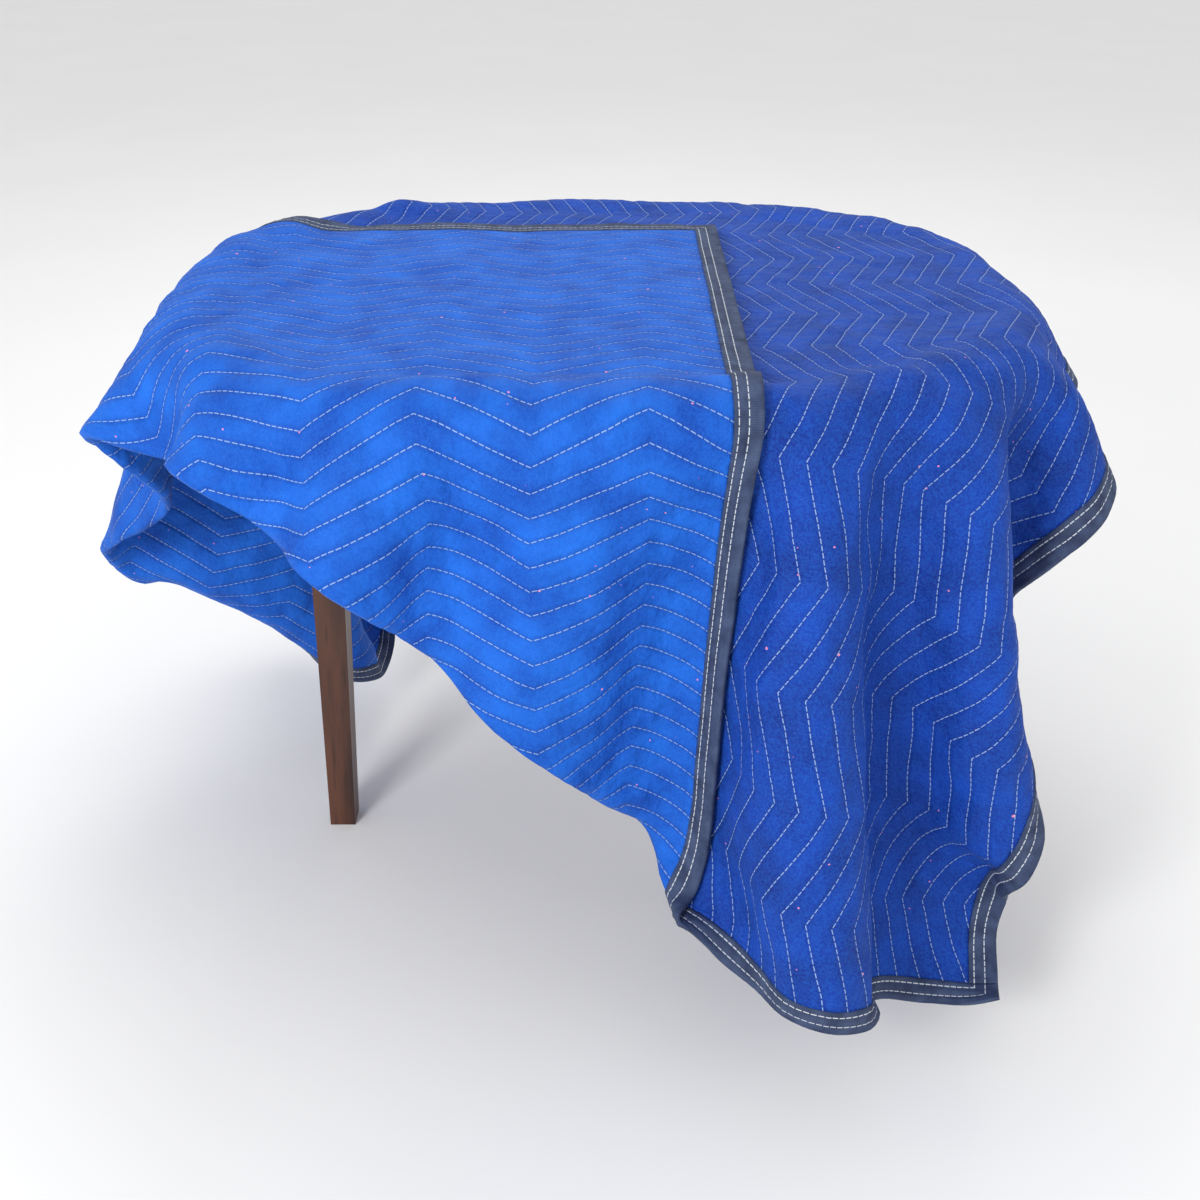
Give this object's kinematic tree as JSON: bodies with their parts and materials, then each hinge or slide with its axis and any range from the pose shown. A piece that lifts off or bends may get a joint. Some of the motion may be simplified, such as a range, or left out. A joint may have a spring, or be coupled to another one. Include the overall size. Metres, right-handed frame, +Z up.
{
  "type": "moving blanket draped over a table",
  "caption": "Quilted square moving blanket with bound hems, thrown over a plain oval table with tapering square legs, its front left corner turned back over the top",
  "frame": {"origin": "on the floor, under the middle of everything built", "axes": "+Z up, +X to the viewer's right along the longer half of the oval table, -Y towards the viewer and the turned-back corner"},
  "size_m": [1.24, 1.046, 0.7771],
  "materials": {
    "quilt": "matt non-woven",
    "tape": "matt woven tape",
    "wood": "dark satin stain"
  },
  "bodies": {
    "root": {"quilted_panel": "quilt", "binding_front": "tape", "binding_back": "tape", "binding_left": "tape", "binding_right": "tape", "table_top": "wood", "leg_left": "wood", "leg_front": "wood", "leg_back": "wood", "rail_cross": "wood", "rail_long": "wood"}
  },
  "joints": []
}
